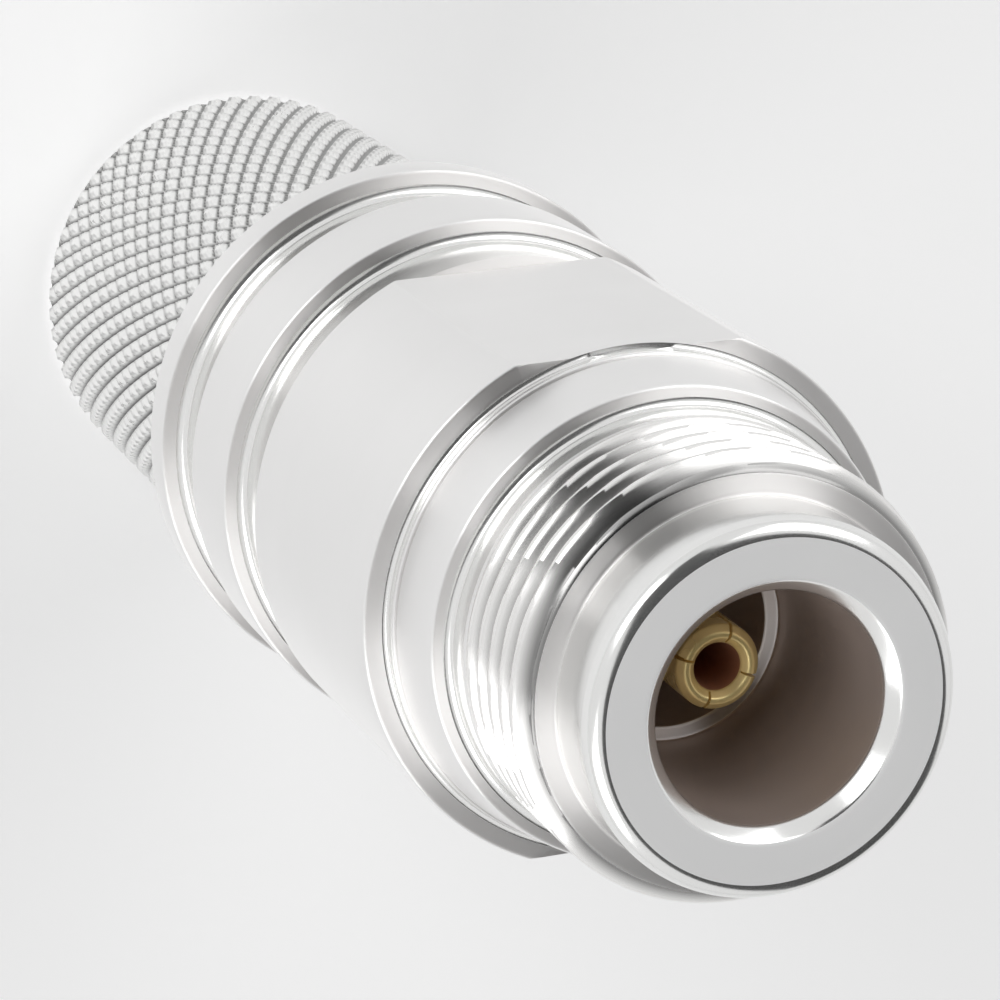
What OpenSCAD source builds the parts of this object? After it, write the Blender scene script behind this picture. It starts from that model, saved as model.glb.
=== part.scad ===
// Coaxial jack of the N series for a large crimped cable.
// It stands on the open end of its knurled barrel; +Z points out of the mating face.

/* [Mating face] */
// Major diameter of the coupling thread, 5/8 inch
thread_d = 15.88; // [15.6:0.02:16.1]
// Length of the coupling thread
thread_len = 5.3; // [4:0.1:9]
// Pitch of the coupling thread, 24 to the inch
thread_pitch = 1.06; // [1:0.01:1.2]
// Depth of the coupling thread
thread_depth = 0.55; // [0.3:0.05:0.6]
// Smooth land between the thread and the shoulder
land_len = 1.2; // [0.6:0.1:3]
// Diameter of the smooth nose
nose_d = 13.2; // [12.4:0.1:14.4]
// Length of the smooth nose
nose_len = 2.9; // [1.5:0.1:4]
// Radius of the rounded rim of the nose
nose_round = 0.6; // [0.2:0.1:1]
// Bore that takes the sleeve of the mating plug
socket_d = 8.1; // [8:0.05:8.3]
// Depth of that bore, down to the electrical reference plane
socket_depth = 9.1; // [8.5:0.1:10]
// Width across the bevelled mouth of the bore
mouth_d = 9.1; // [8.6:0.1:9.8]
// Bore of the air line behind the reference plane
line_d = 7; // [6.8:0.1:7.4]
// Length of the air line behind the reference plane
line_len = 4.9; // [3:0.1:6]

/* [Shoulder ring] */
// Diameter of the shoulder ring behind the thread
shoulder_d = 18.2; // [17:0.1:19]
// How much narrower the shoulder ring is at its front edge
shoulder_taper = 0.8; // [0:0.1:0.9]
// Length of the shoulder ring
shoulder_len = 2.7; // [1.5:0.1:4]
// Diameter of the spigot that screws into the main body
spigot_d = 15.2; // [14.4:0.1:15.6]
// Length of that spigot
spigot_len = 8.5; // [7.8:0.1:9.5]

/* [Main body] */
// Diameter of the main body
body_d = 20.2; // [20:0.1:22]
// Length of the main body between its front face and its groove
body_len = 13.3; // [11:0.1:18]
// Width across the two spanner flats
flats_w = 18.3; // [17.8:0.1:19.6]
// Diameter of the low boss on the front face
boss_d = 18.4; // [17.8:0.1:19]
// Height of that boss
boss_len = 0.5; // [0.3:0.1:1.5]
// Diameter at the bottom of the groove behind the body
groove_d = 19; // [18.6:0.1:19.4]
// Width of that groove
groove_len = 3; // [1.5:0.1:4]
// Diameter of the rear ring
ring_d = 20.8; // [20:0.1:22.5]
// Length of the rear ring
ring_len = 4.6; // [4:0.1:7]
// Bore at the back that takes the barrel and the rear bead
rear_bore_d = 17.2; // [16.6:0.1:17.6]

/* [Knurled barrel] */
// Length of the knurled barrel, which the braid is crimped on
knurl_len = 24.8; // [18:0.1:32]
// Diameter over the tips of the knurl
knurl_d = 18.4; // [18:0.1:19]
// Depth of the knurl
knurl_depth = 0.35; // [0.15:0.05:0.45]
// Number of knurl grooves round the barrel, each way
knurl_count = 60; // [40:1:64]
// Angle of the knurl grooves to the axis
knurl_angle = 24; // [20:1:35]
// Diameter of the flange in front of the barrel
flange_d = 21.6; // [20.5:0.1:23]
// Thickness of the flange
flange_len = 1.8; // [1:0.1:3]
// Diameter of the neck between the flange and the rear ring
neck_d = 19.5; // [19:0.1:20]
// Length of that neck
neck_len = 2.9; // [1.5:0.1:4]
// Bore that takes the cable core
cable_bore_d = 16.2; // [15.6:0.1:16.6]
// Bore of the air line in front of the cable core
barrel_line_d = 15; // [14:0.1:15.4]
// Length of the barrel's spigot inside the main body
barrel_spigot_len = 3.5; // [2.5:0.1:4]

/* [Contacts] */
// Diameter of the front contact
contact_d = 3.04; // [2.9:0.02:3.2]
// Hole for the pin of the mating plug
pin_hole_d = 1.68; // [1.6:0.02:1.8]
// Depth of that hole
pin_hole_depth = 5.5; // [4.5:0.1:7]
// Distance of the contact's tip behind the mating face
tip_recess = 4.8; // [3.8:0.1:5.2]
// Width of the slots in the front contact
pin_slot_w = 0.22; // [0.15:0.01:0.3]
// Turn of those slots from the normals of the spanner flats
pin_slot_turn = -20; // [-45:1:45]
// Diameter of the front contact inside its bead
shank_d = 2.2; // [1.9:0.1:2.6]
// Diameter of the rear contact
receptacle_d = 7; // [6.6:0.1:7.4]
// Hole in the rear contact for the cable's centre conductor
wire_hole_d = 5; // [4.4:0.1:5.4]
// Depth of that hole
wire_hole_depth = 9; // [7:0.1:10]
// Width of the slots in the rear contact
wire_slot_w = 0.6; // [0.3:0.1:0.8]
// Distance of the rear contact in front of the cable core's stop
wire_gap = 1.5; // [1:0.1:3]

/* [Beads and seals] */
// Outer diameter of the front bead and of the press ring behind it
bead_d = 9.6; // [9:0.1:10.4]
// Thickness of the front bead
bead_len = 4.5; // [3:0.1:5]
// Thickness of the rear bead
rear_bead_len = 3; // [2:0.1:3.5]
// Number of air holes in the rear bead
air_holes = 6; // [4:1:7]
// Diameter of each air hole
air_hole_d = 3; // [2:0.1:3.4]
// Section of the two seal rings, across their width
seal_w = 0.8; // [0.6:0.1:0.9]
// Section of the two seal rings, along the axis
seal_h = 1; // [0.6:0.1:1.2]

/* [Hidden] */
$fn = 96;

edge = 0.2;            // bevel on the turned outer edges
lip = 0.3;             // bevel at the mouths of the rear bores
cut = 1;               // how far a cutter runs past the face it opens
arc_steps = 6;         // straight steps in a quarter round

// Heights of the faces, from the open end of the barrel upwards
flange_z = knurl_len;
neck_z = flange_z + flange_len;
ring_z = neck_z + neck_len;
groove_z = ring_z + ring_len;
body_z = groove_z + groove_len;
boss_z = body_z + body_len;
shoulder_z = boss_z + boss_len;
land_z = shoulder_z + shoulder_len;
thread_z = land_z + land_len;
nose_z = thread_z + thread_len;
face_z = nose_z + nose_len;

// Heights of what lies inside
plane_z = face_z - socket_depth;
bead_front_z = plane_z - line_len;
bead_rear_z = bead_front_z - bead_len;
spigot_z = shoulder_z - spigot_len;
barrel_end_z = ring_z + barrel_spigot_len;
rear_stop_z = barrel_end_z + rear_bead_len;
tip_z = face_z - tip_recess;
core_stop_z = flange_z + edge;
wire_z = core_stop_z + wire_gap;

// The line inside the main body widens in step with the rear contact
cone_wide_z = rear_stop_z + 0.5;
cone_narrow_z = spigot_z - 1.4;
stub_d = shank_d - 0.4;
stub_len = 4;

nickel = [0.82, 0.82, 0.80];
gold = [0.93, 0.74, 0.38];
ptfe = [0.95, 0.94, 0.90];
rubber = [0.72, 0.26, 0.16];

// Points of a quarter round, from angle a to angle a + 90
function quarter(cx, cz, r, a) =
    [for (i = [0:arc_steps]) [cx + r * cos(a + 90 * i / arc_steps), cz + r * sin(a + 90 * i / arc_steps)]];

// Turned disc from z0 to z1 with both outer edges bevelled, narrower by taper at the top
module land(d, z0, z1, taper = 0) {
    top_r = (d - taper) / 2;
    rotate_extrude()
        polygon([[0, z0], [d / 2 - edge, z0], [d / 2, z0 + edge],
                 [top_r, z1 - edge], [top_r - edge, z1], [0, z1]]);
}

// Straight bore from z0 to z1
module bore(d, z0, z1) {
    translate([0, 0, z0]) cylinder(d = d, h = z1 - z0);
}

// Bevelled mouth: d0 wide at z0, d1 wide at z1
module cone(d0, d1, z0, z1) {
    translate([0, 0, z0]) cylinder(d1 = d0, d2 = d1, h = z1 - z0);
}

// Ring of rectangular section with softened corners, as a seal lies in its groove
module seal(inner_d, z0) {
    soft = seal_w / 4;
    r = inner_d / 2;
    rotate_extrude()
        polygon(concat(quarter(r + soft, z0 + soft, soft, 180),
                       quarter(r + seal_w - soft, z0 + soft, soft, 270),
                       quarter(r + seal_w - soft, z0 + seal_h - soft, soft, 0),
                       quarter(r + soft, z0 + seal_h - soft, soft, 90)));
}

// Crossed slots that split a contact into four fingers, turned by start
module slots(width, z0, z1, start = 0) {
    for (turn = [0, 90])
        rotate([0, 0, start + turn])
            translate([-receptacle_d, -width / 2, z0])
                cube([2 * receptacle_d, width, z1 - z0]);
}

// Coupling thread and its land: ring grooves of 60 degrees at the pitch, with a bevelled start
module thread_rings() {
    r = thread_d / 2;
    root = thread_pitch / 8;
    mouth = root + 2 * thread_depth * tan(30);
    start_z = nose_z - thread_depth;
    grooves = floor((thread_len - thread_depth) / thread_pitch);
    rotate_extrude()
        polygon(concat([[0, land_z - cut], [r, land_z - cut]],
                       [for (i = [grooves - 1:-1:0])
                           let (z = start_z - (i + 0.5) * thread_pitch)
                           each [[r, z - mouth / 2], [r - thread_depth, z - root / 2],
                                 [r - thread_depth, z + root / 2], [r, z + mouth / 2]]],
                       [[r, start_z], [r - thread_depth, nose_z], [0, nose_z]]));
}

module front_shell() {
    color(nickel)
    difference() {
        union() {
            rotate_extrude()
                polygon(concat([[0, nose_z - cut], [nose_d / 2, nose_z - cut]],
                               quarter(nose_d / 2 - nose_round, face_z - nose_round, nose_round, 0),
                               [[0, face_z]]));
            thread_rings();
            land(shoulder_d, shoulder_z, land_z, shoulder_taper);
            bore(spigot_d, spigot_z, shoulder_z + cut);
        }
        cone(socket_d, mouth_d, face_z - (mouth_d - socket_d) / 2, face_z);
        bore(socket_d, plane_z, face_z + cut);
        bore(line_d, bead_front_z - cut, plane_z + cut);
        bore(bead_d, spigot_z - cut, bead_front_z);
    }
}

module main_body() {
    flat_r = flats_w / 2;
    color(nickel)
    difference() {
        union() {
            bore(boss_d, boss_z - cut, shoulder_z);
            difference() {
                land(body_d, body_z, boss_z);
                for (side = [0, 180])
                    rotate([0, 0, side])
                        translate([flat_r, -body_d, body_z - cut])
                            cube([body_d, 2 * body_d, body_len + 2 * cut]);
            }
            bore(groove_d, groove_z - cut, body_z + cut);
            land(ring_d, ring_z, groove_z);
        }
        bore(spigot_d, spigot_z, shoulder_z + cut);
        bore(spigot_d + 2 * seal_w, shoulder_z - seal_h, shoulder_z + cut);
        bore(line_d, cone_narrow_z - cut, spigot_z + cut);
        cone(barrel_line_d, line_d, cone_wide_z, cone_narrow_z);
        bore(barrel_line_d, rear_stop_z - cut, cone_wide_z);
        bore(rear_bore_d, ring_z - cut, rear_stop_z);
        bore(rear_bore_d + 2 * seal_w, ring_z - cut, ring_z + seal_h);
    }
}

// Sleeve of pyramids where two sets of helical grooves cross
module diamond_knurl(r_tip, depth, count, angle, z0, z1, inner_r) {
    cols = 2 * count;
    row_ideal = PI * r_tip / count / tan(angle);
    rows = 2 * round((z1 - z0) / row_ideal / 2);
    pitch = (z1 - z0) / rows;
    function tip(i, j) = (i + j) % 2 == 1 && i > 0 && i < rows;
    function ring(r, z, i) = [for (j = [0:cols - 1])
        let (a = 360 * j / cols, rr = r - (tip(i, j) ? 0 : depth)) [rr * cos(a), rr * sin(a), z]];
    outer = [for (i = [0:rows]) each ring(r_tip, z0 + i * pitch, i)];
    inner = concat(ring(inner_r + depth, z0, 0), ring(inner_r + depth, z1, 0));
    base = cols * (rows + 1);
    function next(j) = (j + 1) % cols;
    skin = [for (i = [0:rows - 1]) for (j = [0:cols - 1])
        let (a = i * cols + j, b = i * cols + next(j), c = a + cols, d = b + cols)
        each ((i + j) % 2 == 0 ? [[a, d, b], [a, c, d]] : [[a, c, b], [b, c, d]])];
    ends = [for (j = [0:cols - 1])
        let (top = rows * cols)
        each [[j, next(j), base + next(j), base + j],
              [top + next(j), top + j, base + cols + j, base + cols + next(j)],
              [base + j, base + next(j), base + cols + next(j), base + cols + j]]];
    polyhedron(points = concat(outer, inner), faces = concat(skin, ends), convexity = 4);
}

module crimp_barrel() {
    tube_r = knurl_d / 2 - knurl_depth - 0.15;
    color(nickel)
    difference() {
        union() {
            land(2 * tube_r, 0, flange_z + cut);
            diamond_knurl(knurl_d / 2, knurl_depth, knurl_count, knurl_angle,
                          lip, flange_z, tube_r - 0.2);
            land(flange_d, flange_z, neck_z);
            bore(neck_d, neck_z - cut, ring_z);
            bore(rear_bore_d, ring_z - cut, barrel_end_z);
        }
        bore(cable_bore_d, -cut, core_stop_z);
        bore(barrel_line_d, core_stop_z - cut, barrel_end_z + cut);
    }
}

module front_contact() {
    nose = 0.25;
    mouth = 0.3;
    color(gold)
    difference() {
        union() {
            rotate_extrude()
                polygon([[0, bead_front_z], [contact_d / 2, bead_front_z],
                         [contact_d / 2, tip_z - nose], [contact_d / 2 - nose, tip_z], [0, tip_z]]);
            bore(shank_d, bead_rear_z, bead_front_z + cut);
            bore(stub_d, bead_rear_z - stub_len, bead_rear_z + cut);
        }
        bore(pin_hole_d, tip_z - pin_hole_depth, tip_z + cut);
        cone(pin_hole_d, pin_hole_d + 2 * mouth, tip_z - mouth, tip_z);
        slots(pin_slot_w, tip_z - pin_hole_depth + 0.5, tip_z + cut, pin_slot_turn);
    }
}

module rear_contact() {
    color(gold)
    difference() {
        union() {
            bore(receptacle_d, wire_z, cone_wide_z);
            cone(receptacle_d, contact_d, cone_wide_z, cone_narrow_z);
            bore(contact_d, cone_narrow_z, bead_rear_z);
        }
        bore(stub_d, bead_rear_z - stub_len, bead_rear_z + cut);
        bore(wire_hole_d, wire_z - cut, wire_z + wire_hole_depth);
        cone(wire_hole_d + 2 * lip, wire_hole_d, wire_z, wire_z + lip);
        slots(wire_slot_w, wire_z - cut, barrel_end_z - 0.5);
    }
}

module front_bead() {
    color(ptfe)
    difference() {
        bore(bead_d, bead_rear_z, bead_front_z);
        bore(shank_d, bead_rear_z - cut, bead_front_z + cut);
    }
}

module press_ring() {
    color(nickel)
    difference() {
        bore(bead_d, spigot_z, bead_rear_z);
        bore(line_d, spigot_z - cut, bead_rear_z + cut);
    }
}

module rear_bead() {
    hole_r = (rear_bore_d + receptacle_d) / 4;
    color(ptfe)
    difference() {
        bore(rear_bore_d, barrel_end_z, rear_stop_z);
        bore(receptacle_d, barrel_end_z - cut, rear_stop_z + cut);
        for (i = [0:air_holes - 1])
            rotate([0, 0, 360 * i / air_holes])
                translate([hole_r, 0, 0])
                    bore(air_hole_d, barrel_end_z - cut, rear_stop_z + cut);
    }
}

module front_seal() {
    color(rubber) seal(spigot_d, shoulder_z - seal_h);
}

module rear_seal() {
    color(rubber) seal(rear_bore_d, ring_z);
}

front_shell();
main_body();
crimp_barrel();
front_contact();
rear_contact();
front_bead();
press_ring();
rear_bead();
front_seal();
rear_seal();
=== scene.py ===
"""Dressed model of a threaded coaxial jack with a knurled crimp barrel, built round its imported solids.

Everything is in metres, in the frame of the solids: the jack stands on its barrel, and +Z leaves the mating
face.
"""

import logging
import math
from dataclasses import dataclass, field
from enum import Enum

import bmesh
import bpy
import numpy as np
from mathutils import Matrix, Vector


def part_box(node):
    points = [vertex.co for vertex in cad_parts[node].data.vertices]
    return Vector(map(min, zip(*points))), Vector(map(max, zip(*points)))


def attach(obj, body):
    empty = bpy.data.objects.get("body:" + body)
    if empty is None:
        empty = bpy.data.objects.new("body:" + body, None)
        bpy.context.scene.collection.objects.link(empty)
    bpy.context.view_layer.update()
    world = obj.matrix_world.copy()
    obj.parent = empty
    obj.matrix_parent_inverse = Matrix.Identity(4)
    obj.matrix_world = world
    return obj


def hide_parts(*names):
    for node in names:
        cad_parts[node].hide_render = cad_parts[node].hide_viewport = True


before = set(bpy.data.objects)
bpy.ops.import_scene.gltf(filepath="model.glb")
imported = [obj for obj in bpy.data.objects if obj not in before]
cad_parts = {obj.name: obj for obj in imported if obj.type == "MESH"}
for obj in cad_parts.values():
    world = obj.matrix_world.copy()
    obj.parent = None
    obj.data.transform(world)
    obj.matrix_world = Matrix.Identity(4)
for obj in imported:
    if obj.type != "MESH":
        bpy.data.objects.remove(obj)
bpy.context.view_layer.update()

MM = 0.001
HAIR = 1e-6  # a thousandth of a millimetre: closer than this is the same place
LONGEST_SIDE = 1.2 * MM
NOISE_LOW, NOISE_HIGH = 0.3, 0.7  # most values of a noise lie between these
LOG = logging.getLogger("jack")
logging.basicConfig(level=logging.INFO, format="%(name)s: %(message)s")


class Slot(Enum):
    """Material slots of the record that the pieces take their finish from."""

    NICKEL = "nickel_plate"
    GOLD = "gold_plate"
    PTFE = "ptfe"
    SILICONE = "silicone"


# --------------------------------------------------------------------------------------
# Finishes
# --------------------------------------------------------------------------------------


class NodeSheet:
    """Short-hand for adding and linking shader nodes in one material."""

    def __init__(self, name: str) -> None:
        """Make an empty node material.

        Args:
            name: Name of the material.
        """
        self.material = bpy.data.materials.new(name)
        self.material.use_nodes = True
        self.tree = self.material.node_tree
        self.tree.nodes.clear()
        self.output = self.add("ShaderNodeOutputMaterial")

    def add(self, kind: str, **settings: object) -> bpy.types.Node:
        """Add a node.

        Args:
            kind: Node type.
            settings: Attributes of the node, such as operation.

        Returns:
            The new node.
        """
        node = self.tree.nodes.new(kind)
        for key, value in settings.items():
            setattr(node, key, value)
        return node

    def link(self, source: bpy.types.NodeSocket, target: bpy.types.NodeSocket) -> None:
        """Link one socket to another."""
        self.tree.links.new(source, target)

    def math(self, operation: str, a: object, b: object = 0.0) -> bpy.types.NodeSocket:
        """Add a Math node.

        Args:
            operation: Name of the operation.
            a: First value, a number or a socket.
            b: Second value, a number or a socket.

        Returns:
            The result's socket.
        """
        node = self.add("ShaderNodeMath", operation=operation)
        for socket, value in zip(node.inputs, (a, b)):
            if isinstance(value, bpy.types.NodeSocket):
                self.link(value, socket)
            else:
                socket.default_value = value
        return node.outputs[0]

    def spread(self, value: bpy.types.NodeSocket, low: float, high: float,
               to_low: float, to_high: float) -> bpy.types.NodeSocket:
        """Map a value from one range to another, clamped.

        Args:
            value: The socket to map.
            low: Start of the range it comes in.
            high: End of that range.
            to_low: Result at the start.
            to_high: Result at the end.

        Returns:
            The mapped value's socket.
        """
        node = self.add("ShaderNodeMapRange")
        self.link(value, node.inputs["Value"])
        ends = {"From Min": low, "From Max": high, "To Min": to_low, "To Max": to_high}
        for name, number in ends.items():
            node.inputs[name].default_value = number
        return node.outputs["Result"]

    def place(self) -> tuple[bpy.types.NodeSocket, bpy.types.NodeSocket, bpy.types.NodeSocket]:
        """Place on the piece, from Object coordinates, about the jack's axis.

        Returns:
            The sockets of the coordinates, the distance from the axis and the height.
        """
        coordinates = self.add("ShaderNodeTexCoord").outputs["Object"]
        parts = self.add("ShaderNodeSeparateXYZ")
        self.link(coordinates, parts.inputs[0])
        across = self.math("POWER", parts.outputs["X"], 2.0)
        along = self.math("POWER", parts.outputs["Y"], 2.0)
        radius = self.math("SQRT", self.math("ADD", across, along))
        return coordinates, radius, parts.outputs["Z"]

    def noise(self, vector: bpy.types.NodeSocket, scale: float, detail: float = 3.0) -> bpy.types.NodeSocket:
        """Add a Noise texture.

        Args:
            vector: Coordinates.
            scale: Scale of the noise.
            detail: Octaves.

        Returns:
            The noise value's socket.
        """
        node = self.add("ShaderNodeTexNoise")
        self.link(vector, node.inputs["Vector"])
        node.inputs["Scale"].default_value = scale
        node.inputs["Detail"].default_value = detail
        return node.outputs["Fac"]

    def bump(self, height: bpy.types.NodeSocket, distance: float) -> bpy.types.NodeSocket:
        """Add a Bump node at full strength.

        Args:
            height: Height, 0 to 1.
            distance: Height that 1 stands for, in metres.

        Returns:
            The normal's socket.
        """
        node = self.add("ShaderNodeBump")
        node.inputs["Distance"].default_value = distance
        node.inputs["Strength"].default_value = 1.0
        self.link(height, node.inputs["Height"])
        return node.outputs["Normal"]

    def tint(self, factor: bpy.types.NodeSocket, dark: tuple[float, float, float],
             light: tuple[float, float, float]) -> bpy.types.NodeSocket:
        """Blend two colours.

        Args:
            factor: 0 for the dark one, 1 for the light one.
            dark: Colour at 0.
            light: Colour at 1.

        Returns:
            The colour's socket.
        """
        ramp = self.add("ShaderNodeValToRGB")
        ramp.color_ramp.elements[0].color = (*dark, 1.0)
        ramp.color_ramp.elements[1].color = (*light, 1.0)
        self.link(factor, ramp.inputs["Fac"])
        return ramp.outputs["Color"]


@dataclass(frozen=True)
class TurnedMetal:
    """Plated metal as it comes from the lathe: fine rings round the axis, a soft grain and a faint haze.

    The third number of painted_groove_shade is the share of the colour that is left in grooves, under the first
    radius, and the colour is whole from the second radius outwards: this darkening is painted shade in the
    grooves. Where metallic is under 1 the finish is part paint-like, which keeps deep or facing surfaces from
    mirroring too strongly.
    """

    name: str
    dark: tuple[float, float, float]
    light: tuple[float, float, float]
    roughness: float = 0.16
    roughness_range: float = 0.08
    anisotropy: float = 0.0
    metallic: float = 1.0
    painted_groove_shade: tuple[float, float, float] = (0.0, 0.0, 1.0)
    ring_depth: float = 0.0000006
    ring_scale: float = 9000.0
    band_scale: float = 750.0
    haze_scale: float = 260.0
    haze_share: float = 0.6
    grain_turn: float = 0.25

    def make(self) -> bpy.types.Material:
        """Build the material.

        Returns:
            The material.
        """
        sheet = NodeSheet(self.name)
        coordinates, radius, height = sheet.place()
        ring_place = sheet.add("ShaderNodeCombineXYZ")
        sheet.link(radius, ring_place.inputs["X"])
        sheet.link(height, ring_place.inputs["Y"])
        rings = sheet.noise(ring_place.outputs[0], self.ring_scale, 2.0)
        bands = sheet.noise(ring_place.outputs[0], self.band_scale, 3.0)
        haze = sheet.noise(coordinates, self.haze_scale, 4.0)
        shader = sheet.add("ShaderNodeBsdfPrincipled")
        shader.inputs["Metallic"].default_value = self.metallic
        shader.inputs["Anisotropic"].default_value = self.anisotropy
        shader.inputs["Anisotropic Rotation"].default_value = self.grain_turn
        blend = sheet.math("ADD", sheet.math("MULTIPLY", haze, self.haze_share),
                           sheet.math("MULTIPLY", bands, 1.0 - self.haze_share))
        colour = sheet.tint(blend, self.dark, self.light)
        # Painted shade: under the first radius the colour is darkened, so the grooves look shaded.
        root, crest, share = self.painted_groove_shade
        if crest:
            painted_shade = sheet.add("ShaderNodeMix", data_type="RGBA", blend_type="MULTIPLY")
            painted_shade.inputs["Factor"].default_value = 1.0
            sheet.link(colour, painted_shade.inputs["A"])
            sheet.link(sheet.spread(radius, root, crest, share, 1.0), painted_shade.inputs["B"])
            colour = painted_shade.outputs["Result"]
        sheet.link(colour, shader.inputs["Base Color"])
        rough = sheet.spread(blend, NOISE_LOW, NOISE_HIGH,
                             self.roughness, self.roughness + self.roughness_range)
        sheet.link(rough, shader.inputs["Roughness"])
        sheet.link(sheet.bump(rings, self.ring_depth), shader.inputs["Normal"])
        if self.anisotropy:
            tangent = sheet.add("ShaderNodeTangent", direction_type="UV_MAP")
            sheet.link(tangent.outputs[0], shader.inputs["Tangent"])
        sheet.link(shader.outputs[0], sheet.output.inputs["Surface"])
        return sheet.material


@dataclass(frozen=True)
class SoftSolid:
    """Plastic or rubber with a fine grain, a mottled colour and its own gloss."""

    name: str
    dark: tuple[float, float, float]
    light: tuple[float, float, float]
    roughness: float
    grain_depth: float
    grain_scale: float
    translucence: float = 0.0
    mottle_scale: float = 320.0
    gloss_range: float = 0.12
    light_reach: float = 1.0 * MM

    def make(self) -> bpy.types.Material:
        """Build the material.

        Returns:
            The material.
        """
        sheet = NodeSheet(self.name)
        coordinates, _radius, _height = sheet.place()
        mottle = sheet.noise(coordinates, self.mottle_scale, 4.0)
        grain = sheet.noise(coordinates, self.grain_scale, 3.0)
        shader = sheet.add("ShaderNodeBsdfPrincipled")
        sheet.link(sheet.tint(mottle, self.dark, self.light), shader.inputs["Base Color"])
        rough = sheet.spread(grain, NOISE_LOW, NOISE_HIGH, self.roughness, self.roughness + self.gloss_range)
        sheet.link(rough, shader.inputs["Roughness"])
        sheet.link(sheet.bump(grain, self.grain_depth), shader.inputs["Normal"])
        shader.inputs["Subsurface Weight"].default_value = self.translucence
        shader.inputs["Subsurface Radius"].default_value = (self.light_reach,) * 3
        shader.inputs["Subsurface Scale"].default_value = 1.0
        sheet.link(shader.outputs[0], sheet.output.inputs["Surface"])
        return sheet.material


NICKEL_SIDE = TurnedMetal("nickel_turned_side", (0.90, 0.895, 0.89), (0.94, 0.935, 0.93),
                          roughness=0.31, roughness_range=0.02, anisotropy=0.85)
# End faces: the same turned nickel with real turning anisotropy, but its colour is made darker than the sides
# as painted shade.
NICKEL_FACE_PAINTED_SHADE = TurnedMetal("nickel_turned_face_painted_shade", (0.84, 0.825, 0.815), (0.93, 0.915, 0.905),
                          roughness=0.35, roughness_range=0.04, anisotropy=1.0)
NICKEL_NOSE = TurnedMetal("nickel_satin_nose", (0.94, 0.94, 0.938), (0.98, 0.98, 0.978),
                          roughness=0.45, roughness_range=0.08, metallic=0.1)
NICKEL_RIM = TurnedMetal("nickel_polished_rim", (0.86, 0.86, 0.85), (0.93, 0.93, 0.92),
                         roughness=0.15, roughness_range=0.04, metallic=0.88)
# Bores: nickel painted a darker brownish grey, which is painted shade inside the hollows.
NICKEL_BORE_PAINTED_SHADE = TurnedMetal("nickel_bore_painted_shade", (0.47, 0.39, 0.35), (0.60, 0.51, 0.46),
                          roughness=0.32, roughness_range=0.10, metallic=0.45)
# Painted shade: the knurl's grooves keep only a twentieth of the colour.
NICKEL_KNURL = TurnedMetal("nickel_knurl", (0.92, 0.92, 0.91), (0.98, 0.98, 0.97),
                           roughness=0.26, roughness_range=0.06,
                           painted_groove_shade=(8.89 * MM, 9.07 * MM, 0.05))
# Painted shade: the thread's grooves keep about a third of the colour.
NICKEL_THREAD = TurnedMetal("nickel_thread", (0.86, 0.855, 0.84), (0.95, 0.94, 0.93),
                            roughness=0.21, roughness_range=0.05, anisotropy=0.7,
                            painted_groove_shade=(7.42 * MM, 7.84 * MM, 0.32))
GOLD_TURNED = TurnedMetal("gold_turned", (1.0, 0.76, 0.30), (1.0, 0.85, 0.42),
                          roughness=0.24, roughness_range=0.08, metallic=0.42)
# Inside the contact's hole: gold painted dark brown, which is painted shade.
GOLD_HOLE_PAINTED_SHADE = TurnedMetal("gold_hole_painted_shade", (0.46, 0.22, 0.13), (0.60, 0.30, 0.18),
                        roughness=0.45, roughness_range=0.10, metallic=0.2)
PTFE_WHITE = SoftSolid("ptfe_white", (0.80, 0.79, 0.75), (0.90, 0.89, 0.86), 0.38, 0.000004, 2600.0, 0.12)
SILICONE_RED = SoftSolid("silicone_red", (0.42, 0.09, 0.05), (0.58, 0.15, 0.09), 0.52, 0.000006, 1900.0)


# --------------------------------------------------------------------------------------
# Meshes
# --------------------------------------------------------------------------------------


def grid_faces(rows: int, columns: int) -> np.ndarray:
    """Quads of a grid whose columns and rows both close on themselves.

    Vertex (i, j) has the number i * columns + j.

    Args:
        rows: Number of rows.
        columns: Number of columns.

    Returns:
        An array of four vertex numbers a face.
    """
    i, j = np.arange(rows)[:, None], np.arange(columns)[None, :]
    below, above = i * columns, ((i + 1) % rows) * columns
    right = (j + 1) % columns
    corners = np.broadcast_arrays(below + j, below + right, above + right, above + j)
    return np.stack(corners, -1).reshape(-1, 4)


def turn_round(radius: np.ndarray, height: np.ndarray, angles: np.ndarray) -> np.ndarray:
    """Grid of points about the Z axis: x = r cos a, y = r sin a, z = height.

    Args:
        radius: Radius, rows x columns.
        height: Height, rows x columns or rows x 1.
        angles: Angle of each column in radians.

    Returns:
        Points, rows x columns x 3.
    """
    return np.stack(np.broadcast_arrays(radius * np.cos(angles), radius * np.sin(angles), height), -1)


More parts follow.
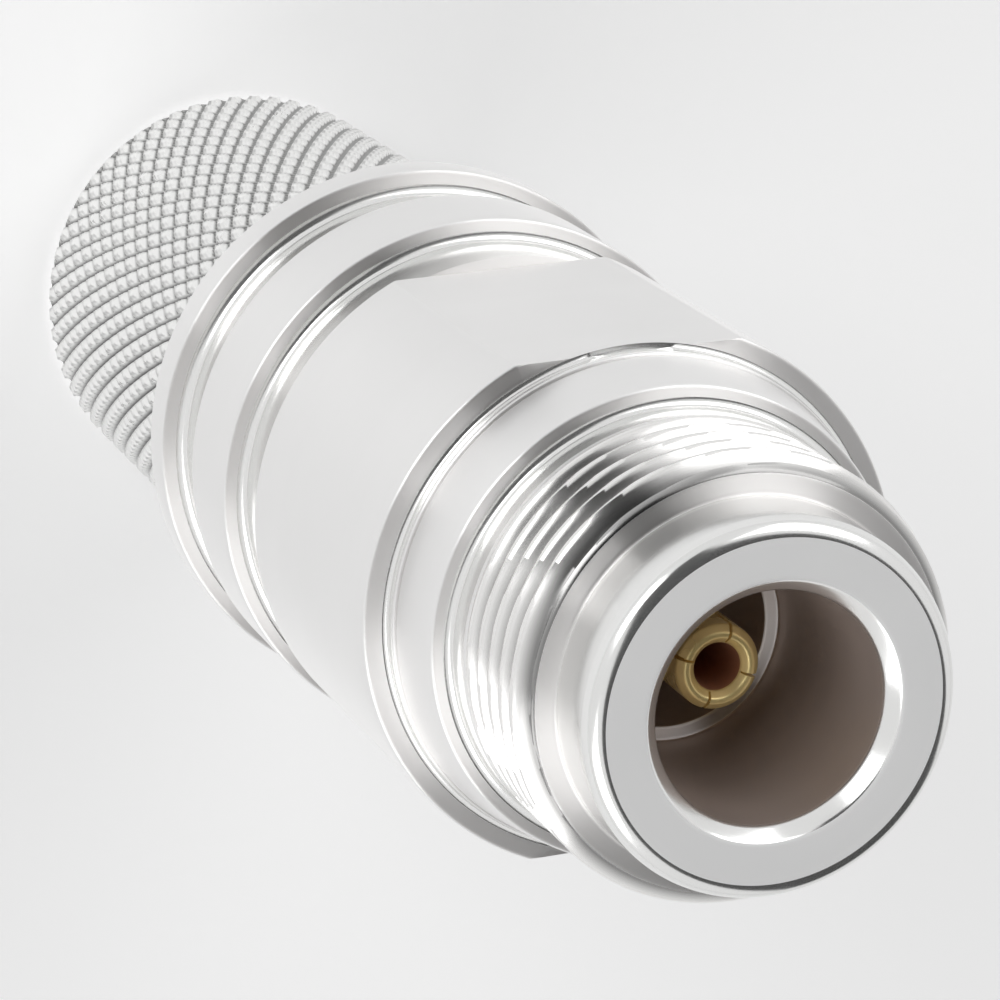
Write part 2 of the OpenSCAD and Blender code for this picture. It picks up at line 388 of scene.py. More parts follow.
def mesh_from_grid(name: str, points: np.ndarray, sharp_deg: float, kinds: np.ndarray) -> bpy.types.Object:
    """Smooth shaded object from a grid of points whose columns go once round the axis.

    Its last row joins the first. Its UV map runs once round the axis in U and along the profile in V, so a
    tangent from it follows the turning.

    Args:
        name: Name of the object.
        points: Array of rows x columns x 3.
        sharp_deg: Edges that bend more than this stay sharp.
        kinds: Number of the material slot of each row's faces.

    Returns:
        The object, linked to the scene.
    """
    rows, columns, _three = points.shape
    faces = grid_faces(rows, columns)
    mesh = bpy.data.meshes.new(name)
    mesh.vertices.add(rows * columns)
    mesh.vertices.foreach_set("co", points.reshape(-1).astype(np.float32))
    mesh.loops.add(faces.size)
    mesh.loops.foreach_set("vertex_index", faces.reshape(-1).astype(np.int32))
    mesh.polygons.add(len(faces))
    mesh.polygons.foreach_set("loop_start", (np.arange(len(faces)) * 4).astype(np.int32))
    mesh.polygons.foreach_set("material_index", np.repeat(kinds, columns).astype(np.int32))
    mesh.update(calc_edges=True)
    mesh.validate()
    layer = mesh.uv_layers.new(name="turning")
    face_row, face_column = np.divmod(np.arange(len(faces)), columns)
    u = (face_column[:, None] + np.array([0, 1, 1, 0])) / columns
    v = (face_row[:, None] + np.array([0, 0, 1, 1])) / rows
    layer.uv.foreach_set("vector", np.stack([u, v], -1).reshape(-1).astype(np.float32))
    mesh.polygons.foreach_set("use_smooth", np.ones(len(faces), bool))
    mesh.set_sharp_from_angle(angle=math.radians(sharp_deg))
    built = bpy.data.objects.new(name, mesh)
    bpy.context.scene.collection.objects.link(built)
    return built


def smooth_copy(node: str, name: str, sharp_deg: float = 32.0) -> bpy.types.Object:
    """Copy of a CAD node with its loose triangles merged and its rounds shaded smooth.

    Args:
        node: Name of the node.
        name: Name of the copy.
        sharp_deg: Edges that bend more than this stay sharp.

    Returns:
        The copy, linked to the scene.
    """
    mesh = bpy.data.meshes.new(name)
    work = bmesh.new()
    work.from_mesh(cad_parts[node].data)
    bmesh.ops.remove_doubles(work, verts=work.verts, dist=HAIR)
    work.to_mesh(mesh)
    work.free()
    mesh.polygons.foreach_set("use_smooth", np.ones(len(mesh.polygons), bool))
    mesh.set_sharp_from_angle(angle=math.radians(sharp_deg))
    copy = bpy.data.objects.new(name, mesh)
    bpy.context.scene.collection.objects.link(copy)
    return copy


@dataclass
class Profile:
    """Outline of a turned piece: (radius, height) points with rounded corners and a finish for each side.

    A corner with a cove of its own takes the finish cove_kind, and so does the whole straight side after it.
    """

    points: list[tuple[float, float]] = field(default_factory=list)
    kinds: list[int] = field(default_factory=list)
    coves: list[float] = field(default_factory=list)
    cove_kind: int = 0

    def to(self, radius: float, height: float, kind: int = 0, cove: float = 0.0) -> "Profile":
        """Draw a straight side to a point.

        Args:
            radius: Radius of the point.
            height: Height of the point.
            kind: Finish of the side that leaves this point.
            cove: Round of this corner, where it isn't that of the others; it and the side then take cove_kind.

        Returns:
            The profile, for the next call.
        """
        self.coves.append(cove)
        self.points.append((radius, height))
        self.kinds.append(kind)
        return self

    def rounded(self, round_r: float, steps: int = 5) -> tuple[np.ndarray, np.ndarray]:
        """The closed outline with each corner cut by an arc.

        An arc leaves the corner's sides at round_r, or at 0.45 of the shorter side, and is a quadratic curve
        that has the corner as its middle control point.

        Args:
            round_r: Distance from the corner to the ends of the arc.
            steps: Straight steps in an arc.

        Returns:
            Points (n x 2) and the finish of the side that leaves each of them.
        """
        corner = np.array(self.points, float)
        before, after = np.roll(corner, 1, 0), np.roll(corner, -1, 0)
        to_before, to_after = before - corner, after - corner
        long_before = np.linalg.norm(to_before, axis=1)
        long_after = np.linalg.norm(to_after, axis=1)
        asked = np.where(np.array(self.coves) > 0, self.coves, round_r)
        reach = np.minimum(asked, 0.45 * np.minimum(long_before, long_after))[:, None]
        start = corner + to_before / long_before[:, None] * reach
        end = corner + to_after / long_after[:, None] * reach
        t = np.linspace(0.0, 1.0, steps + 1)[None, :, None]
        arc = (1 - t) ** 2 * start[:, None] + 2 * t * (1 - t) * corner[:, None] + t**2 * end[:, None]
        kind_here = np.array(self.kinds)
        kind_before = np.roll(kind_here, 1)
        first_half = np.arange(steps + 1)[None, :] < (steps + 1) // 2
        kinds = np.where(first_half, kind_before[:, None], kind_here[:, None])
        kinds = np.where(np.array(self.coves)[:, None] > 0, self.cove_kind, kinds)
        return arc.reshape(-1, 2), kinds.reshape(-1)


def refine(outline: np.ndarray, kinds: np.ndarray,
           longest: float | np.ndarray) -> tuple[np.ndarray, np.ndarray]:
    """Split the long sides of a closed outline.

    Args:
        outline: Points (n x 2).
        kinds: Finish of the side that leaves each point.
        longest: Longest side that is left whole, for all sides or for each.

    Returns:
        The new points and finishes.
    """
    after = np.roll(outline, -1, 0)
    pieces = np.maximum(1, np.ceil(np.linalg.norm(after - outline, axis=1) / longest)).astype(int)
    source = np.repeat(np.arange(len(outline)), pieces)
    step = np.arange(len(source)) - np.repeat(np.cumsum(pieces) - pieces, pieces)
    share = (step / pieces[source])[:, None]
    return outline[source] * (1 - share) + after[source] * share, kinds[source]


def even_angles(count: int) -> np.ndarray:
    """Angles that go once round, in radians."""
    return np.arange(count) * (2 * math.pi / count)


# --------------------------------------------------------------------------------------
# Sub-assemblies
# --------------------------------------------------------------------------------------


@dataclass
class Piece:
    """A finished piece, with what it stands for and its finishes."""

    built: bpy.types.Object
    stands_for: str
    slot: Slot

    def dress(self, finishes: list[bpy.types.Material]) -> None:
        """Give the piece its finishes and hang it on the jack's body.

        Args:
            finishes: Materials, in the order of the mesh's material numbers.
        """
        for finish in finishes:
            self.built.data.materials.append(finish)
        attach(self.built, "root")
        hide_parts(self.stands_for)
        faces = len(self.built.data.polygons)
        LOG.info("%s: %d faces, stands for %s", self.built.name, faces, self.stands_for)


@dataclass
class ThreadedShell:
    """Front shell: nose, socket, coupling thread, land, shoulder ring and spigot."""

    face_z: float
    bottom_z: float
    shoulder_r: float
    thread_r: float = 7.94 * MM
    thread_pitch: float = 25.4 / 24 * MM
    thread_depth: float = 0.60 * MM
    crest_share: float = 0.085
    flank_share: float = 0.29
    runout_pitches: float = 0.55
    runout_power: float = 0.7
    rows_per_pitch: int = 16
    start_bevel: float = 0.55 * MM
    nose_r: float = 6.6 * MM
    nose_len: float = 2.9 * MM
    nose_round: float = 0.6 * MM
    thread_len: float = 5.3 * MM
    land_len: float = 1.2 * MM
    shoulder_len: float = 2.7 * MM
    shoulder_taper: float = 0.4 * MM
    spigot_r: float = 7.6 * MM
    socket_r: float = 4.05 * MM
    mouth_r: float = 4.55 * MM
    socket_depth: float = 9.1 * MM
    line_r: float = 3.5 * MM
    line_len: float = 4.9 * MM
    bead_r: float = 4.8 * MM
    edge: float = 0.14 * MM
    cove: float = 0.5 * MM
    columns: int = 384
    SIDE, FACE, BORE, THREAD, NOSE, RIM = range(6)

    def outline(self) -> tuple[np.ndarray, np.ndarray]:
        """Closed outline with the thread's stretch as one fine straight run at the crest radius.

        Returns:
            Points (n x 2) and their finishes.
        """
        nose_z = self.face_z - self.nose_len
        thread_z = nose_z - self.thread_len
        land_z = thread_z - self.land_len
        shoulder_z = land_z - self.shoulder_len
        plane_z = self.face_z - self.socket_depth
        bead_z = plane_z - self.line_len
        quarter = np.linspace(0.0, math.pi / 2, 9)
        profile = Profile(cove_kind=self.RIM)
        profile.to(self.bead_r, self.bottom_z, self.FACE)
        profile.to(self.spigot_r, self.bottom_z, self.SIDE)
        profile.to(self.spigot_r, shoulder_z, self.FACE)
        profile.to(self.shoulder_r, shoulder_z, self.SIDE)
        profile.to(self.shoulder_r - self.shoulder_taper, land_z, self.FACE)
        profile.to(self.thread_r, land_z, self.SIDE, self.cove)
        profile.to(self.thread_r, thread_z, self.THREAD)
        profile.to(self.thread_r, nose_z - self.start_bevel, self.THREAD)
        profile.to(self.thread_r - self.start_bevel, nose_z, self.FACE)
        profile.to(self.nose_r, nose_z, self.RIM)
        for radius, height in zip(self.nose_r - self.nose_round * (1 - np.cos(quarter)),
                                  self.face_z - self.nose_round * (1 - np.sin(quarter))):
            profile.to(float(radius), float(height), self.RIM)
        profile.kinds[-1] = self.NOSE
        profile.to(self.mouth_r, self.face_z, self.RIM)
        profile.to(self.socket_r, self.face_z - (self.mouth_r - self.socket_r), self.BORE)
        profile.to(self.socket_r, plane_z, self.FACE)
        profile.to(self.line_r, plane_z, self.BORE)
        profile.to(self.line_r, bead_z, self.BORE)
        profile.to(self.bead_r, bead_z, self.BORE)
        points, kinds = profile.rounded(self.edge)
        fine = self.thread_pitch / self.rows_per_pitch
        return refine(points, kinds, np.where(kinds == self.THREAD, fine, LONGEST_SIDE))

    def thread_drop(self, angles: np.ndarray, height: np.ndarray) -> np.ndarray:
        """How far the thread's surface lies under its crest.

        With t the place within a pitch, 0 at a crest, the flanks are straight:
        drop = depth * clamp((|t| - c) / f), where c is half the crest's flat and f the flank. The drop fades to
        nothing over the last half pitch towards the land, and over the bevel at the start only what is deeper
        than the bevel is cut.

        Args:
            angles: Angle of each column.
            height: Height of each row.

        Returns:
            Drop in metres, rows x columns.
        """
        nose_z = self.face_z - self.nose_len
        thread_z = nose_z - self.thread_len
        above_land = height[:, None] - thread_z
        turns = above_land / self.thread_pitch - angles[None, :] / (2 * math.pi)
        place = np.abs(turns - np.round(turns))
        groove = np.clip((place - self.crest_share) / self.flank_share, 0.0, 1.0)
        runout = np.clip(above_land / (self.runout_pitches * self.thread_pitch), 0.0, 1.0)
        drop = self.thread_depth * groove * runout**self.runout_power
        bevel = np.clip(height[:, None] - (nose_z - self.start_bevel), 0.0, None)
        inside = (height > thread_z) & (height <= nose_z)
        return np.where(inside[:, None], np.maximum(drop - bevel, 0.0), 0.0)

    def build(self) -> Piece:
        """Turn the outline, cut the thread into it and close it."""
        points, kinds = self.outline()
        angles = even_angles(self.columns)
        drop = self.thread_drop(angles, points[:, 1])
        outside = points[:, 0] > self.thread_r - self.start_bevel
        radius = points[:, 0][:, None] - drop * outside[:, None]
        grid = turn_round(radius, points[:, 1][:, None], angles)
        built = mesh_from_grid("threaded_shell", grid, 50.0, kinds)
        return Piece(built, "front_shell", Slot.NICKEL)


@dataclass
class MainBody:
    """Main body: boss, large cylinder with two spanner flats, groove and rear ring."""

    top_z: float
    bottom_z: float
    ring_r: float
    body_r: float = 10.1 * MM
    flat_r: float = 9.15 * MM
    boss_r: float = 9.2 * MM
    boss_len: float = 0.5 * MM
    body_len: float = 13.3 * MM
    groove_len: float = 3.0 * MM
    groove_r: float = 9.5 * MM
    ring_len: float = 4.6 * MM
    rear_bore_r: float = 8.6 * MM
    flat_spread: float = 0.002
    columns: int = 240
    beside_corner: tuple[float, ...] = (-0.012, -0.004, 0.0, 0.004, 0.012)
    corner_clear: float = 0.008
    least_cosine: float = 0.05
    seal_w: float = 0.8 * MM
    seal_h: float = 1.0 * MM
    rear_stop_z: float = 36.0 * MM
    line_r: float = 7.5 * MM
    narrow_r: float = 3.5 * MM
    wide_z: float = 36.5 * MM
    narrow_z: float = 41.0 * MM
    spigot_z: float = 42.4 * MM
    spigot_r: float = 7.6 * MM
    edge: float = 0.15 * MM
    cove: float = 0.5 * MM
    SIDE, FACE, BORE, RIM = range(4)

    def flat_angles(self) -> np.ndarray:
        """Angles of the columns: even ones, and more beside the four edges of the flats.

        Returns:
            Angles in radians, in order.
        """
        half = math.acos(self.flat_r / self.body_r)
        corners = np.array([half, math.pi - half, math.pi + half, 2 * math.pi - half])
        close = (corners[:, None] + np.array(self.beside_corner)[None, :]).reshape(-1)
        even = even_angles(self.columns)
        clear = np.min(np.abs(even[:, None] - close[None, :]), axis=1) > self.corner_clear
        return np.sort(np.concatenate([even[clear], close]))

    def build(self) -> Piece:
        """Turn the outline, and cut the flats where r = flat / |cos a| lies inside it.

        The cut points keep flat_spread of their distance from each other, so that no two fall together.
        """
        boss_z = self.top_z - self.boss_len
        body_z = boss_z - self.body_len
        groove_z = body_z - self.groove_len
        profile = Profile(cove_kind=self.RIM)
        profile.to(self.rear_bore_r + self.seal_w, self.bottom_z, self.FACE)
        profile.to(self.ring_r, self.bottom_z, self.SIDE)
        profile.to(self.ring_r, groove_z, self.FACE)
        profile.to(self.groove_r, groove_z, self.SIDE, self.cove)
        profile.to(self.groove_r, body_z, self.FACE)
        profile.to(self.body_r, body_z, self.SIDE)
        profile.to(self.body_r, boss_z, self.FACE)
        profile.to(self.boss_r, boss_z, self.SIDE, self.cove)
        profile.to(self.boss_r, self.top_z, self.FACE)
        profile.to(self.spigot_r + self.seal_w, self.top_z, self.BORE)
        profile.to(self.spigot_r + self.seal_w, self.top_z - self.seal_h, self.BORE)
        profile.to(self.spigot_r, self.top_z - self.seal_h, self.BORE)
        profile.to(self.spigot_r, self.spigot_z, self.BORE)
        profile.to(self.narrow_r, self.spigot_z, self.BORE)
        profile.to(self.narrow_r, self.narrow_z, self.BORE)
        profile.to(self.line_r, self.wide_z, self.BORE)
        profile.to(self.line_r, self.rear_stop_z, self.BORE)
        profile.to(self.rear_bore_r, self.rear_stop_z, self.BORE)
        profile.to(self.rear_bore_r, self.bottom_z + self.seal_h, self.BORE)
        profile.to(self.rear_bore_r + self.seal_w, self.bottom_z + self.seal_h, self.BORE)
        points, kinds = refine(*profile.rounded(self.edge), LONGEST_SIDE)
        angles = self.flat_angles()
        outline_r, outline_z = points[:, 0], points[:, 1]
        flat = self.flat_r / np.maximum(np.abs(np.cos(angles)), self.least_cosine)
        above = (outline_z > boss_z + HAIR) & (outline_r > self.boss_r)
        beside = (outline_z > body_z - HAIR) & (outline_z <= boss_z + HAIR)
        cut = (beside & (outline_r > self.groove_r + HAIR)) | above
        limit = np.where(above[:, None], np.maximum(flat, self.boss_r)[None, :], flat[None, :])
        limit = limit + (outline_r[:, None] - self.groove_r) * self.flat_spread
        radius = np.where(cut[:, None], np.minimum(outline_r[:, None], limit), outline_r[:, None])
        grid = turn_round(radius, points[:, 1][:, None], angles)
        built = mesh_from_grid("flatted_body", grid, 38.0, kinds)
        return Piece(built, "main_body", Slot.NICKEL)


@dataclass
class KnurledBarrel:
    """Crimp barrel: diamond knurl, flange, neck and the spigot inside the body."""

    tip_r: float = 9.2 * MM
    knurl_depth: float = 0.35 * MM
    knurl_count: int = 60
    knurl_len: float = 24.8 * MM
    half_rows: int = 24
    per_diamond: int = 4
    flange_r: float = 10.8 * MM
    flange_len: float = 1.8 * MM
    neck_r: float = 9.75 * MM
    neck_len: float = 2.9 * MM
    spigot_r: float = 8.6 * MM
    spigot_len: float = 3.5 * MM
    cable_r: float = 8.1 * MM
    line_r: float = 7.5 * MM
    core_stop_z: float = 25.0 * MM
    lip: float = 0.3 * MM
    end_r: float = 8.65 * MM
    edge: float = 0.15 * MM
    cove: float = 0.5 * MM
    SIDE, FACE, BORE, KNURL, RIM = range(5)

    def build(self) -> Piece:
        """Turn the outline and lift the knurl's pyramids from it.

        Two sets of helical grooves cross: with p and q the places between grooves of each set, 0 in a groove
        and 1 half way to the next, r = tip - depth * (1 - min(1, 2 min(p, q))).
        """
        neck_z = self.knurl_len + self.flange_len
        ring_z = neck_z + self.neck_len
        columns = 2 * self.knurl_count * self.per_diamond
        angles = even_angles(columns)
        profile = Profile(cove_kind=self.RIM)
        profile.to(self.cable_r, 0.0, self.FACE)
        profile.to(self.end_r, 0.0, self.SIDE)
        profile.to(self.tip_r - self.knurl_depth, self.lip, self.KNURL)
        profile.to(self.tip_r - self.knurl_depth, self.knurl_len, self.FACE)
        profile.to(self.flange_r, self.knurl_len, self.SIDE)
        profile.to(self.flange_r, neck_z, self.FACE)
        profile.to(self.neck_r, neck_z, self.SIDE, self.cove)
        profile.to(self.neck_r, ring_z, self.FACE)
        profile.to(self.spigot_r, ring_z, self.SIDE)
        profile.to(self.spigot_r, ring_z + self.spigot_len, self.FACE)
        profile.to(self.line_r, ring_z + self.spigot_len, self.BORE)
        profile.to(self.line_r, self.core_stop_z, self.BORE)
        profile.to(self.cable_r, self.core_stop_z, self.BORE)
        points, kinds = profile.rounded(self.edge, 4)
        knurl_from, knurl_to = self.lip, self.knurl_len
        on_knurl = kinds == self.KNURL
        first = int(np.argmax(on_knurl))
        last = first + int(np.argmin(on_knurl[first:]))
        rows = np.linspace(knurl_from, knurl_to, self.half_rows * self.per_diamond + 1)[1:-1]
        run = np.stack([np.full(len(rows), self.tip_r - self.knurl_depth), rows], -1)
        points = np.concatenate([points[:first], run, points[last:]])
        kinds = np.concatenate([kinds[:first], np.full(len(run), self.KNURL), kinds[last:]])
        around = angles * self.knurl_count / math.pi
        along = (points[:, 1] - knurl_from) / (knurl_to - knurl_from) * self.half_rows
        one_set = self.wave(around[None, :] + along[:, None])
        other_set = self.wave(around[None, :] - along[:, None])
        rise = np.minimum(one_set, other_set)
        fade = np.clip(np.minimum(along, self.half_rows - along), 0.0, 1.0)
        lift = self.knurl_depth * np.minimum(1.0, 2.0 * rise) * fade[:, None]
        radius = points[:, 0][:, None] + np.where((kinds == self.KNURL)[:, None], lift, 0.0)
        grid = turn_round(radius, points[:, 1][:, None], angles)
        built = mesh_from_grid("knurled_barrel", grid, 60.0, kinds)
        return Piece(built, "crimp_barrel", Slot.NICKEL)

    @staticmethod
    def wave(turns: np.ndarray) -> np.ndarray:
        """Triangle wave with period 2: 0 at even numbers and 1 at odd ones."""
        return 1.0 - np.abs(np.mod(turns, 2.0) - 1.0)


@dataclass
class SocketContact:
    """Centre contact of the socket: a funnelled hole, four shallow grooves at its slots, and its shank."""

    tip_z: float
    bottom_z: float
    contact_r: float = 1.52 * MM
    nose: float = 0.25 * MM
    hole_r: float = 0.84 * MM
    funnel: float = 0.24 * MM
    hole_depth: float = 5.5 * MM
    bead_front_z: float = 49.0 * MM
    bead_rear_z: float = 44.5 * MM
    shank_r: float = 1.1 * MM
    stub_r: float = 0.9 * MM
    slot_half: float = 0.05 * MM
    slot_depth: float = 0.35 * MM
    slot_edge: float = 0.3
    slot_turn_deg: float = -20.0
    slot_clear: float = 0.03
    slot_foot: float = 0.5 * MM
    axis_r: float = 0.05 * MM
    columns: int = 96
    edge: float = 0.07 * MM
    SHINE, HOLE = range(2)

    def build(self) -> Piece:
        """Turn the outline, and sink it at the four slots.

        A groove is slot_depth deep over its half width, and fades over slot_edge of that on both sides. The
        small margins on the radii and heights take the rounded edges in.
        """
        profile = Profile()
        profile.to(self.hole_r, self.tip_z - self.funnel, self.HOLE)
        profile.to(self.hole_r, self.tip_z - self.hole_depth, self.HOLE)
        profile.to(self.axis_r, self.tip_z - self.hole_depth, self.HOLE)
        profile.to(self.axis_r, self.bottom_z, self.SHINE)
        profile.to(self.stub_r, self.bottom_z, self.SHINE)
        profile.to(self.stub_r, self.bead_rear_z, self.SHINE)
        profile.to(self.shank_r, self.bead_rear_z, self.SHINE)
        profile.to(self.shank_r, self.bead_front_z, self.SHINE)
        profile.to(self.contact_r, self.bead_front_z, self.SHINE)
        profile.to(self.contact_r, self.tip_z - self.nose, self.SHINE)
        profile.to(self.contact_r - self.nose, self.tip_z, self.SHINE)
        profile.to(self.hole_r + self.funnel, self.tip_z, self.SHINE)
        points, kinds = refine(*profile.rounded(self.edge), 0.5 * MM)
        half = self.slot_half / self.contact_r
        fade = 1.0 + self.slot_edge
        near = np.array([-fade, -1.0, 1.0, fade]) * half
        middles = math.radians(self.slot_turn_deg) + even_angles(4)
        close = np.mod((middles[:, None] + near[None, :]).reshape(-1), 2 * math.pi)
        even = even_angles(self.columns)
        clear = np.min(np.abs(even[:, None] - close[None, :]), axis=1) > self.slot_clear
        angles = np.sort(np.concatenate([even[clear], close]))
        away = np.mod(angles[:, None] - middles[None, :] + math.pi, 2 * math.pi) - math.pi
        gap = np.abs(away).min(axis=1)
        sunk = np.clip((fade * half - gap) / (self.slot_edge * half), 0.0, 1.0)[None, :] * self.slot_depth
        radius, height = points[:, 0][:, None], points[:, 1][:, None]
        finger = height > self.tip_z - self.hole_depth + self.slot_foot
        on_face = radius > self.hole_r + 0.05 * MM
        radius = radius - np.where(finger & (radius > self.contact_r - self.nose - 0.02 * MM), sunk, 0.0)
        height = height - np.where(on_face & (height > self.tip_z - self.nose - 0.1 * MM), sunk, 0.0)
        built = mesh_from_grid("socket_contact", turn_round(radius, height, angles), 40.0, kinds)
        return Piece(built, "front_contact", Slot.GOLD)


@dataclass
class InnerParts:
    """Cable contact, beads, press ring and seals: copies of the solids, shaded smooth."""

    def build(self) -> list[Piece]:
        """Copy each solid.

        Returns:
            The pieces.
        """
        plan = [("rear_contact", "wire_contact", Slot.GOLD),
                ("front_bead", "socket_bead", Slot.PTFE), ("rear_bead", "barrel_bead", Slot.PTFE),
                ("press_ring", "bead_press_ring", Slot.NICKEL), ("front_seal", "shell_seal", Slot.SILICONE),
                ("rear_seal", "barrel_seal", Slot.SILICONE)]
        return [Piece(smooth_copy(node, name), node, slot) for node, name, slot in plan]


# --------------------------------------------------------------------------------------
# Studio
# --------------------------------------------------------------------------------------


@dataclass
class Studio:
    """Pale floor and surround, soft lights, a dark card and the camera.

    The card's width lies along across, and card_shift moves the card that way.
    """

    middle: tuple[float, float, float] = (0.0, 0.0, 0.035)
    lens_mm: float = 147.2
    sensor_mm: float = 36.0
    camera_place: tuple[float, float, float] = (0.04629, 0.04986, 0.17847)
    camera_right: tuple[float, float, float] = (-0.02773, -0.94039, 0.33891)
    camera_up: tuple[float, float, float] = (0.95511, -0.12495, -0.26857)
    floor_half: float = 3.0
    floor_grey: float = 0.84
    floor_glow: float = 0.34
    lamp_power: float = 2.0
    across: tuple[float, float, float] = (-0.559, 0.829, 0.0)
    card_shift: float = -0.14
    card_half: float = 0.42
    card_reach: float = 1.4
    card_from_deg: float = 40.0
    card_to_deg: float = 172.0
    card_steps: int = 32
    card_mottle: float = 12.0
    card_dark: float = 0.03
    card_light: float = 0.05
    fill_level: float = 0.45

    def camera(self) -> None:
        """Stand the camera above the mating face, turned as a hand-held view is."""
        data = bpy.data.cameras.new("camera")
        data.sensor_width = self.sensor_mm
        data.lens = self.lens_mm
        data.clip_start = 0.01
        data.clip_end = 50.0
        right, up = Vector(self.camera_right), Vector(self.camera_up)
        right.normalize()
        back = right.cross(up).normalized()
        up = back.cross(right)
        turn = Matrix((right, up, back)).transposed().to_4x4()
        camera = bpy.data.objects.new("camera", data)
        camera.matrix_world = Matrix.Translation(Vector(self.camera_place)) @ turn
        bpy.context.scene.collection.objects.link(camera)
        bpy.context.scene.camera = camera

    def floor(self) -> None:
        """Pale floor with a glow where it is seen, mirrored or seen through, which keeps the shadow."""
        half = self.floor_half
        corners = [(-half, -half, 0.0), (half, -half, 0.0), (half, half, 0.0), (-half, half, 0.0)]
        mesh = bpy.data.meshes.new("floor")
        mesh.from_pydata(corners, [], [(0, 1, 2, 3)])
        floor = bpy.data.objects.new("floor", mesh)
        bpy.context.scene.collection.objects.link(floor)
        sheet = NodeSheet("floor_white")
        diffuse = sheet.add("ShaderNodeBsdfDiffuse")
        diffuse.inputs["Color"].default_value = (self.floor_grey, self.floor_grey, self.floor_grey, 1.0)
        glow = sheet.add("ShaderNodeEmission")
        path = sheet.add("ShaderNodeLightPath")
        mirrored = sheet.math("MAXIMUM", path.outputs["Is Glossy Ray"],
                              path.outputs["Is Transmission Ray"])
        seen = sheet.math("MAXIMUM", path.outputs["Is Camera Ray"], mirrored)
        sheet.link(sheet.math("MULTIPLY", seen, self.floor_glow), glow.inputs["Strength"])
        both = sheet.add("ShaderNodeAddShader")
        sheet.link(diffuse.outputs[0], both.inputs[0])
        sheet.link(glow.outputs[0], both.inputs[1])
        sheet.link(both.outputs[0], sheet.output.inputs["Surface"])
        mesh.materials.append(sheet.material)

    def softbox(self, name: str, place: tuple[float, float, float], side: float) -> None:
        """Square lamp that faces the middle of the jack.

        Args:
            name: Name of the lamp.
            place: Its middle.
            side: Its width and height.
        """
        data = bpy.data.lights.new(name, "AREA")
        data.shape = "RECTANGLE"
        data.size = data.size_y = side
        data.energy = self.lamp_power
        lamp = bpy.data.objects.new(name, data)
        lamp.location = place
        aim = Vector(self.middle) - Vector(place)
        lamp.rotation_euler = aim.to_track_quat("-Z", "Y").to_euler()
        bpy.context.scene.collection.objects.link(lamp)

    def dark_card(self) -> None:
        """Hang a long dark card over the jack, which the turned faces mirror as a dark band.

        The card is an arc round the jack: middle + reach (cos e along + sin e up) + s across, with e from low
        at the camera's side over the top to low at the far side, and s within half the width.
        """
        across = np.array(self.across)
        along = np.array([across[1], -across[0], 0.0])
        turn = np.radians(np.linspace(self.card_from_deg, self.card_to_deg, self.card_steps + 1))
        turn = turn[:, None, None]
        side = np.array([-self.card_half, 0.0, self.card_half])[None, :, None]
        middle = np.array(self.middle) + self.card_shift * across
        up = np.array([0.0, 0.0, 1.0])
        arc = self.card_reach * (np.cos(turn) * along + np.sin(turn) * up)
        points = middle + arc + side * across
        i, j = np.arange(self.card_steps)[:, None] * side.size, np.arange(side.size - 1)[None, :]
        faces = np.stack([i + j, i + j + 1, i + j + 1 + side.size, i + j + side.size], -1).reshape(-1, 4)
        mesh = bpy.data.meshes.new("dark_card")
        mesh.from_pydata(points.reshape(-1, 3).tolist(), [], faces.tolist())
        card = bpy.data.objects.new("dark_card", mesh)
        bpy.context.scene.collection.objects.link(card)
        sheet = NodeSheet("card_black")
        coordinates, _radius, _height = sheet.place()
        diffuse = sheet.add("ShaderNodeBsdfDiffuse")
        colour = sheet.tint(sheet.noise(coordinates, self.card_mottle),
                            (self.card_dark,) * 3, (self.card_light,) * 3)
        sheet.link(colour, diffuse.inputs["Color"])
        sheet.link(diffuse.outputs[0], sheet.output.inputs["Surface"])
        mesh.materials.append(sheet.material)

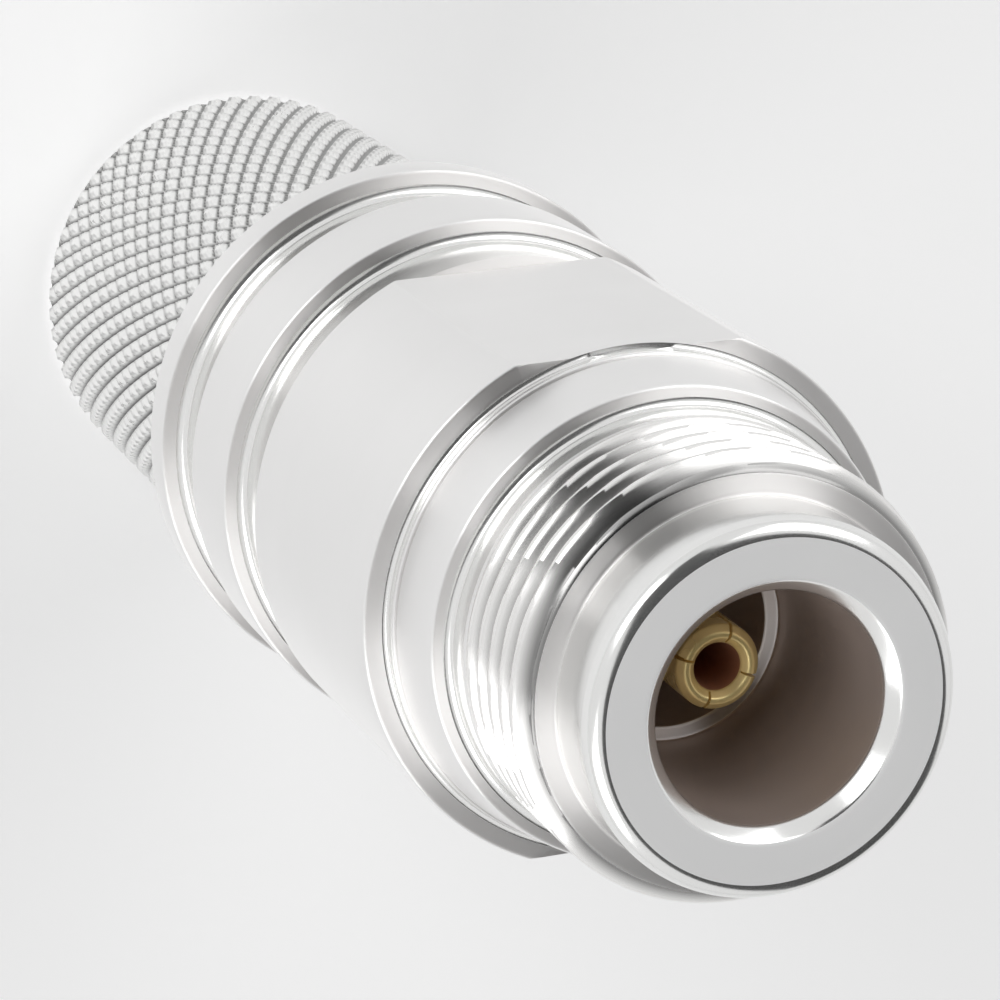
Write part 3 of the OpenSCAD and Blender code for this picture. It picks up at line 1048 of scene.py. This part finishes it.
    def world(self) -> None:
        """White surround for what is seen, mirrored or seen through, and a plain fill for the rest."""
        world = bpy.data.worlds.new("surround")
        bpy.context.scene.world = world
        world.use_nodes = True
        tree = world.node_tree
        tree.nodes.clear()
        path = tree.nodes.new("ShaderNodeLightPath")
        seen = path.outputs["Is Camera Ray"]
        for name in ("Is Glossy Ray", "Is Transmission Ray"):
            either = tree.nodes.new("ShaderNodeMath")
            either.operation = "MAXIMUM"
            tree.links.new(seen, either.inputs[0])
            tree.links.new(path.outputs[name], either.inputs[1])
            seen = either.outputs[0]
        level = tree.nodes.new("ShaderNodeMapRange")
        tree.links.new(seen, level.inputs["Value"])
        level.inputs["To Min"].default_value = self.fill_level
        background = tree.nodes.new("ShaderNodeBackground")
        tree.links.new(level.outputs["Result"], background.inputs["Strength"])
        output = tree.nodes.new("ShaderNodeOutputWorld")
        tree.links.new(background.outputs[0], output.inputs["Surface"])

    def build(self) -> None:
        """Set up the whole studio."""
        bpy.context.scene.view_settings.view_transform = "Standard"
        self.camera()
        self.floor()
        self.dark_card()
        self.world()
        self.softbox("left_softbox", (-0.55, 0.51, 0.6), 0.6)
        self.softbox("right_softbox", (0.55, -0.51, 0.6), 0.6)
        self.softbox("camera_softbox", (0.55, 0.62, 0.62), 0.5)
        LOG.info("studio ready")


def main() -> None:
    """Build the studio and the jack."""
    Studio().build()
    side, face, bore = NICKEL_SIDE.make(), NICKEL_FACE_PAINTED_SHADE.make(), NICKEL_BORE_PAINTED_SHADE.make()
    knurl, thread = NICKEL_KNURL.make(), NICKEL_THREAD.make()
    nose, rim = NICKEL_NOSE.make(), NICKEL_RIM.make()
    shell_low, shell_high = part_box("front_shell")
    body_low, body_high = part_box("main_body")
    shell = ThreadedShell(shell_high.z, shell_low.z, shell_high.x)
    shell.build().dress([side, face, bore, thread, nose, rim])
    MainBody(body_high.z, body_low.z, body_high.x).build().dress([side, face, bore, rim])
    KnurledBarrel().build().dress([side, face, bore, knurl, rim])
    # The hidden press ring takes the bore finish, with its painted shade.
    inner = {Slot.GOLD: GOLD_TURNED.make(), Slot.PTFE: PTFE_WHITE.make(), Slot.NICKEL: bore,
             Slot.SILICONE: SILICONE_RED.make()}
    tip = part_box("front_contact")
    SocketContact(tip[1].z, tip[0].z).build().dress([inner[Slot.GOLD], GOLD_HOLE_PAINTED_SHADE.make()])
    for piece in InnerParts().build():
        piece.dress([inner[piece.slot]])


if __name__ == "__main__":
    main()
